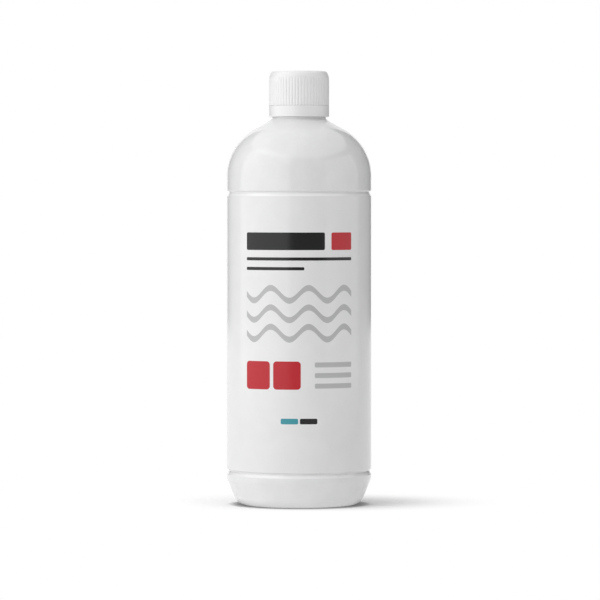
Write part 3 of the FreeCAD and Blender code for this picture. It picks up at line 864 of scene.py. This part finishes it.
def ink_masks(tree, sizes):
    """Mask of each ink on the film: its bars, and for the grey ink three waves too."""
    place = add(tree, "ShaderNodeUVMap", uv_map="film_place").outputs[0]
    parts = add(tree, "ShaderNodeSeparateXYZ", {0: place}).outputs
    across, up = parts["X"], parts["Y"]
    names = ("Middle Across", "Middle Up", "Half Width", "Half Height", "Round")
    wave_levels = (100.0 * MM, 111.0 * MM, 122.0 * MM)
    masks = {}
    for ink, *bar in printed_bars(sizes.half_print / MM):
        inputs = {name: size * MM for name, size in zip(names, bar)}
        mask = grouped(tree, print_bar, {"Across": across, "Up": up, **inputs})["Mask"]
        masks[ink] = calc(tree, "MAXIMUM", masks.get(ink, 0.0), mask)
    for level in wave_levels:
        masks["grey"] = calc(tree, "MAXIMUM", masks["grey"], wave_mask(tree, across, up, level, sizes))
    return masks


def label_material(sizes, finishes):
    """Printed film: bars and waves in four inks over a mottled white ground, the inks a little duller."""
    material, tree = new_material(FILM)
    skin = {"Grain Scale": 3500.0, "Ripple Scale": 40.0, "Grain Share": 0.2}
    marks = {"Patch Scale": 26.0, "Streak Scale": 800.0}
    mottle, normal, rubbed = worn_skin(tree, skin, marks, finishes, relief=0.3)
    masks = ink_masks(tree, sizes)
    tone = blended(tree, mottle, opaque(finishes.film), opaque(finishes.film_pale))
    covered = 0.0
    for ink in ("grey", "black", "red", "teal"):
        tone = blended(tree, masks[ink], tone, opaque(getattr(finishes, f"{ink}_ink")))
        covered = calc(tree, "MAXIMUM", covered, masks[ink])
    roughness = ramped(tree, covered, 0.0, 1.0, finishes.film_rough, finishes.ink_rough)
    look = {"Base Color": tone, "Roughness": calc(tree, "ADD", roughness, rubbed), "Normal": normal}
    surface(tree, {**look, "Specular IOR Level": finishes.film_shine})
    return material


class SOLUTION_OT_label(bpy.types.Operator):
    """Build the printed film label"""

    bl_idname = "solution.label"
    bl_label = "Label"

    def execute(self, context):
        sizes = context.scene.solution_label
        points, faces, places = label_surface(sizes)
        material = label_material(sizes, context.scene.solution_finishes)
        piece = finished("label_film_wrap", points, faces, material, "bottle", "label")
        corners = np.empty(len(piece.data.loops), dtype=np.int32)
        piece.data.loops.foreach_get("vertex_index", corners)
        layer = piece.data.uv_layers.new(name="film_place")
        layer.data.foreach_set("uv", places[corners].astype(np.float32).ravel())
        return {"FINISHED"}


# Cap and tamper band

def cap_corners(sizes):
    """Corners of the cap from the middle of its ceiling, down inside, up outside and over the top."""
    inside = sizes.skirt_inside
    tip = WAD_FOOT - sizes.bead_drop
    bevel = CAP_TOP - sizes.bevel_drop
    return [
        (0, CEILING, 0),
        (inside, CEILING, sizes.ceiling_round),
        (inside, WAD_FOOT, sizes.bead_seat),
        (inside - sizes.bead_reach, tip, sizes.bead_round),
        (inside, tip - sizes.bead_ramp, sizes.ramp_round),
        (inside, SKIRT_FOOT + sizes.skirt_chamfer, sizes.chamfer_round),
        (inside + sizes.skirt_chamfer, SKIRT_FOOT, LEAST_ROUND),
        (CLOSURE_RADIUS, SKIRT_FOOT, sizes.skirt_round),
        (CLOSURE_RADIUS, bevel, sizes.bevel_round),
        (CLOSURE_RADIUS - sizes.bevel_drop * math.tan(sizes.bevel_angle), CAP_TOP, sizes.edge_round),
        (sizes.gate_radius, CAP_TOP, sizes.gate_round),
        (sizes.gate_radius, CAP_TOP - sizes.gate_depth, LEAST_ROUND),
        (0, CAP_TOP - sizes.gate_depth, 0),
    ]


def cap_surface(sizes, bottle, thread):
    """Cap: an outline turned about Z, ribbed outside and threaded inside.

    Between ribs the radius is held down to crest - depth x gap, where gap rises from 0 at a gap's edge to
    1 at its floor. The inner radius loses the thread, half a pitch above the neck's own.
    """
    outline = rounded_outline(cap_corners(sizes))
    rib_top = CAP_TOP - sizes.rib_drop
    bead_foot = WAD_FOOT - sizes.bead_drop - sizes.bead_ramp
    plain_skirt = close_to(outline[:, 0], sizes.skirt_inside) & (outline[:, 1] < bead_foot)
    outline = refined(outline, plain_skirt, step=0.4 * MM)
    radii, heights = outline.T
    run_out = (heights > rib_top - 3 * MM) & (heights < rib_top + MM)
    outline = refined(outline, run_out & (radii > sizes.skirt_inside + sizes.bead_reach), step=0.2 * MM)
    rows = np.arange(len(outline))[:, None]
    lowest = np.flatnonzero(outline[:, 1] < SKIRT_FOOT + CLOSE)
    start = LAND - bottle.neck_height + thread.rise + thread.pitch / 2

    def shape(radii, heights, angles):
        away = off_nearest(angles, sizes.rib_count) * CLOSURE_RADIUS
        gap = smooth((sizes.rib_gap / 2 - away) / (sizes.rib_gap / 2 - sizes.rib_root / 2))
        gap = gap * smooth((rib_top - heights) / sizes.rib_fade)
        ribbed = np.minimum(radii, CLOSURE_RADIUS - sizes.rib_depth * gap)
        ridge = thread_ridge(angles, heights, start, thread.cap_turns, thread)
        threaded = radii - thread.cap_depth * ridge * (heights < bead_foot)
        outside = rows >= lowest[-1]
        inside = rows < lowest[0]
        return np.where(outside & (heights < rib_top), ribbed, np.where(inside, threaded, radii)), heights

    return turned_solid(outline, even_angles(SIDES_PER_RIB * sizes.rib_count), shape)


def band_surface(sizes):
    """Tamper band: a closed outline turned about Z, with hooks inside and broken bridges on top.

    A hook moves the inner wall in by its reach, along a ramp below its tip. A bridge lifts the top face
    between two radii to the bridges' common height.
    """
    top = SKIRT_FOOT - sizes.slit
    foot = BAND_FOOT - sizes.band_foot_drop
    corners = [
        (sizes.band_inside, foot, sizes.band_inner_round),
        (CLOSURE_RADIUS, foot, sizes.band_foot_round),
        (CLOSURE_RADIUS, top, sizes.band_top_round),
        (sizes.band_inside, top, sizes.band_inner_round),
    ]
    outline = rounded_outline(corners, closed=True)
    outline = refined(outline, close_to(outline[:, 0], sizes.band_inside), step=0.15 * MM)
    outline = refined(outline, close_to(outline[:, 1], top), step=0.1 * MM)
    hook_top = BAND_FOOT + sizes.hook_top
    hook_foot = hook_top - sizes.hook_tip - sizes.hook_ramp
    bridge_outside = CLOSURE_RADIUS - sizes.bridge_inset
    bridge_inside = bridge_outside - sizes.bridge_thickness
    edge = sizes.bridge_edge

    def shape(radii, heights, angles):
        on_inside = radii < sizes.band_inside + CLOSE
        ramp = np.clip((heights - hook_foot) / sizes.hook_ramp, 0, 1) * (heights < hook_top)
        hook = round_tooth(angles, sizes.tab_count, sizes.hook_arc / 2, sizes.hook_fade)
        on_top = heights > top - CLOSE
        across = smooth((radii - bridge_inside) / edge) * smooth((bridge_outside - radii) / edge)
        bridge = round_tooth(angles, sizes.tab_count, sizes.bridge_arc / 2, sizes.bridge_fade)
        radii = radii - on_inside * sizes.hook_reach * ramp * hook
        return radii, heights + on_top * (BRIDGE_TOP - top) * across * bridge

    return turned_ring(outline, even_angles(BAND_SIDES), shape)


def cap_material(finishes):
    """White of the cap and band, made once and shared."""
    whites = (finishes.cap_white, finishes.cap_pale)
    skin = {"Grain Scale": 4000.0, "Ripple Scale": 90.0, "Grain Share": 0.45}
    marks = {"Patch Scale": 70.0, "Streak Scale": 1200.0}
    made = bpy.data.materials.get(CAP)
    return made or plastic_material(CAP, whites, finishes.cap_rough, skin, marks, finishes)


class SOLUTION_OT_cap(bpy.types.Operator):
    """Build the ribbed screw cap"""

    bl_idname = "solution.cap"
    bl_label = "Cap"

    def execute(self, context):
        scene = context.scene
        points, faces = cap_surface(scene.solution_closure, scene.solution_bottle, scene.solution_thread)
        finished("cap_ribbed", points, faces, cap_material(scene.solution_finishes), "cap", "cap")
        return {"FINISHED"}


class SOLUTION_OT_band(bpy.types.Operator):
    """Build the tamper band"""

    bl_idname = "solution.band"
    bl_label = "Tamper band"

    def execute(self, context):
        points, faces = band_surface(context.scene.solution_closure)
        material = cap_material(context.scene.solution_finishes)
        finished("tamper_band_ring", points, faces, material, "tamper_band", "tamper_band")
        return {"FINISHED"}


class SOLUTION_OT_liner(bpy.types.Operator):
    """Finish the foam wad and the vent membrane, whose solids stay as they are"""

    bl_idname = "solution.liner"
    bl_label = "Liner"

    def execute(self, context):
        finishes = context.scene.solution_finishes
        foam = fine_material(FOAM, finishes.foam, finishes.foam_dark, scale=4500.0, depth=0.05 * MM)
        film = fine_material(
            MEMBRANE, finishes.membrane, finishes.membrane_dark, scale=9000.0, depth=0.02 * MM
        )
        for node, material in (("liner_wad", foam), ("vent_membrane", film)):
            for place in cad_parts[node].material_slots:
                place.material = material
        return {"FINISHED"}


# Stage

def seen_rays(tree):
    """1 for rays that show the stage itself: from the camera, a gloss or a clear body."""
    rays = add(tree, "ShaderNodeLightPath").outputs
    direct = calc(tree, "MAXIMUM", rays["Is Camera Ray"], rays["Is Glossy Ray"])
    return calc(tree, "MAXIMUM", direct, rays["Is Transmission Ray"])


def floor_material(settings):
    """Pale matte floor that keeps the shadow beside the bottle, is white further off, and glows upwards.

    The lamps' shadow is kept within an oval round a place behind the axis, and close to the bottle an
    occlusion factor darkens the floor's colour as well, a painted contact shadow.
    """
    material, tree = new_material("studio_floor")
    oval = settings.shadow_oval
    move = {"Scale": (1.0, oval, 1.0), "Location": (0.0, -oval * settings.shadow_shift, 0.0)}
    away = add(tree, "ShaderNodeMapping", {"Vector": object_place(tree), **move}).outputs[0]
    away = add(tree, "ShaderNodeVectorMath", {0: away}, operation="LENGTH").outputs["Value"]
    far = ramped(tree, away, settings.shadow_start, settings.shadow_end)
    # Painted contact shadow: an occlusion factor that darkens the floor's colour and glow close to the bottle
    contact_shade_paint = add(tree, "ShaderNodeAmbientOcclusion", {"Distance": settings.contact_reach}).outputs["AO"]
    contact_shade_paint = ramped(tree, contact_shade_paint, 0.0, 1.0, settings.contact_light, 1.0, "LINEAR")
    white = calc(tree, "MULTIPLY", contact_shade_paint, settings.floor_white)
    near = add(tree, "ShaderNodeBsdfDiffuse", {"Color": white})
    glow = add(tree, "ShaderNodeEmission", {"Color": contact_shade_paint, "Strength": 1.0})
    shown = add(tree, "ShaderNodeMixShader", {0: far, 1: near.outputs[0], 2: glow.outputs[0]})
    bounce = add(tree, "ShaderNodeEmission", {"Strength": settings.floor_glow})
    both = add(tree, "ShaderNodeMixShader", {0: seen_rays(tree), 1: bounce.outputs[0], 2: shown.outputs[0]})
    add(tree, "ShaderNodeOutputMaterial", {"Surface": both.outputs[0]})
    return material


def dark_material():
    """Matte dark card."""
    material, tree = new_material("studio_dark_card")
    card = add(tree, "ShaderNodeBsdfDiffuse", {"Color": (0.05, 0.05, 0.05, 1.0)})
    add(tree, "ShaderNodeOutputMaterial", {"Surface": card.outputs[0]})
    return material


def stage_mesh(name, points, faces, material):
    """New object for the stage, made like any other mesh and put on none of the bottle's bodies."""
    made = mesh_object(name, points, faces, material)
    return made


def floor_disc(material):
    """Flat round floor: rings of radius r on the plane z = 0, closed by a fan at the middle."""
    radii = np.array([4.0, 1.0, 0.3])
    grid = turned_grid(np.column_stack([radii, np.zeros_like(radii)]), even_angles(STAGE_SIDES))
    points = np.vstack([grid.reshape(-1, 3), np.zeros((1, 3))])
    numbers = vertex_numbers(grid)
    numbers = np.hstack([numbers, numbers[:, :1]])
    middle = np.full(STAGE_SIDES, len(points) - 1)
    fan = np.stack([numbers[-1, :-1], numbers[-1, 1:], middle], axis=1)
    return stage_mesh("floor", points, strip_faces(numbers).tolist() + fan.tolist(), material)


def dark_surround(material):
    """Dark card round the set but for its back, which only reflections see: an upright wall."""
    radius, foot, top = 3.0, -0.2, 2.6
    left, right = math.radians(160), math.radians(164)
    angles = np.linspace(FRONT - left, FRONT + right, STAGE_SIDES + 1)
    grid = turned_grid(np.array([(radius, foot), (radius, top)]), angles)
    faces = strip_faces(vertex_numbers(grid)).tolist()
    card = stage_mesh("dark_card", grid.reshape(-1, 3), faces, material)
    for rays in ("camera", "diffuse", "shadow", "transmission"):
        setattr(card, f"visible_{rays}", False)


def softbox(name, radiance, azimuth, distance, height, width, tall, aim):
    """Rectangular lamp at an azimuth in degrees from the camera's side, aimed at a height on the axis.

    A lamp of power P and area A has a radiance of P / (pi A), so the power follows from the radiance.
    """
    lamp = bpy.data.lights.new(name, "AREA")
    lamp.shape = "RECTANGLE"
    lamp.size, lamp.size_y = width, tall
    lamp.energy = radiance * math.pi * width * tall
    made = placed(name, lamp)
    turned = math.radians(azimuth)
    made.location = (distance * math.sin(turned), -distance * math.cos(turned), height)
    made.rotation_euler = (Vector((0, 0, aim)) - made.location).to_track_quat("-Z", "Y").to_euler()
    made.visible_camera = False
    return made


def light_only(lamp, piece):
    """Lets a lamp light one piece alone; everything still casts its shadow there."""
    lit = bpy.data.collections.new(f"{lamp.name}_lit")
    lit.objects.link(piece)
    lamp.light_linking.receiver_collection = lit


def set_lamps(settings, floor):
    """A wide softbox on the left, two overhead, one of them for the floor alone, and a card on the right."""
    side = {"azimuth": -60, "distance": 1.2, "height": 0.75, "width": 2.4, "tall": 1.6, "aim": 0.75}
    softbox("key_softbox", settings.key_radiance, **side)
    above = {"azimuth": 80, "distance": 0.15, "height": 1.6, "width": 0.9, "tall": 0.9, "aim": 0.1}
    top = softbox("top_softbox", settings.top_radiance, **above)
    top.visible_glossy = False
    over = {"azimuth": -80, "distance": 0.22, "height": 1.6, "width": 1.0, "tall": 1.0, "aim": 0.1}
    light_only(softbox("shadow_softbox", settings.shadow_radiance, **over), floor)
    beside = {"azimuth": 75, "distance": 1.2, "height": 0.45, "width": 1.5, "tall": 1.0, "aim": 0.45}
    card = softbox("right_card", settings.card_radiance, **beside)
    card.visible_diffuse = False


def set_world(ambient):
    """Even light of strength ambient, shown as plain white where the background itself is seen."""
    world = bpy.data.worlds.new("studio")
    world.use_nodes = True
    tree = world.node_tree
    tree.nodes.clear()
    strength = ramped(tree, seen_rays(tree), 0.0, 1.0, ambient, 1.0, "LINEAR")
    back = add(tree, "ShaderNodeBackground", {"Color": (1.0, 1.0, 1.0, 1.0), "Strength": strength})
    add(tree, "ShaderNodeOutputWorld", {"Surface": back.outputs[0]})
    bpy.context.scene.world = world


def set_camera(settings):
    """Camera at the photograph's place, looking along +Y and a little down."""
    lens = bpy.data.cameras.new("camera")
    lens.sensor_width = 36.0
    lens.lens = settings.camera_focus / PHOTO_PIXELS * lens.sensor_width
    lens.clip_end = 100.0
    camera = placed("camera", lens)
    camera.location = (settings.camera_side, -settings.camera_distance, settings.camera_height)
    camera.rotation_euler = (QUARTER - settings.camera_tilt, 0, 0)
    bpy.context.scene.camera = camera


class SOLUTION_OT_stage(bpy.types.Operator):
    """Set up the floor, the lamps, the background and the camera"""

    bl_idname = "solution.stage"
    bl_label = "Stage"

    def execute(self, context):
        settings = context.scene.solution_stage
        floor = floor_disc(floor_material(settings))
        dark_surround(dark_material())
        set_lamps(settings, floor)
        set_world(settings.ambient)
        set_camera(settings)
        context.scene.view_settings.view_transform = "Standard"
        return {"FINISHED"}


class SOLUTION_PT_panel(bpy.types.Panel):
    """Sizes, finishes and steps of the solution bottle"""

    bl_idname = "SOLUTION_PT_panel"
    bl_label = "Solution bottle"
    bl_space_type = "VIEW_3D"
    bl_region_type = "UI"
    bl_category = "Bottle"

    def draw(self, context):
        for step in STEPS:
            self.layout.operator(step.bl_idname)
        for attribute, group in GROUPS.items():
            box = self.layout.box()
            box.label(text=group.__name__)
            for name in group.__annotations__:
                box.prop(getattr(context.scene, attribute), name)


STEPS = (
    SOLUTION_OT_bottle,
    SOLUTION_OT_label,
    SOLUTION_OT_cap,
    SOLUTION_OT_band,
    SOLUTION_OT_liner,
    SOLUTION_OT_stage,
)
GROUPS = {
    "solution_bottle": BottleSizes,
    "solution_thread": ThreadSizes,
    "solution_closure": ClosureSizes,
    "solution_label": LabelSizes,
    "solution_finishes": Finishes,
    "solution_stage": StageSettings,
}


def register():
    for group in GROUPS.values():
        bpy.utils.register_class(group)
    for attribute, group in GROUPS.items():
        setattr(bpy.types.Scene, attribute, bpy.props.PointerProperty(type=group))
    for step in (*STEPS, SOLUTION_PT_panel):
        bpy.utils.register_class(step)


def unregister():
    for step in (SOLUTION_PT_panel, *reversed(STEPS)):
        bpy.utils.unregister_class(step)
    for attribute in GROUPS:
        delattr(bpy.types.Scene, attribute)
    for group in reversed(GROUPS.values()):
        bpy.utils.unregister_class(group)


def main():
    """Registers the add-on and runs its steps in order."""
    register()
    bpy.ops.solution.bottle()
    bpy.ops.solution.label()
    bpy.ops.solution.cap()
    bpy.ops.solution.band()
    bpy.ops.solution.liner()
    bpy.ops.solution.stage()


if __name__ == "__main__":
    main()
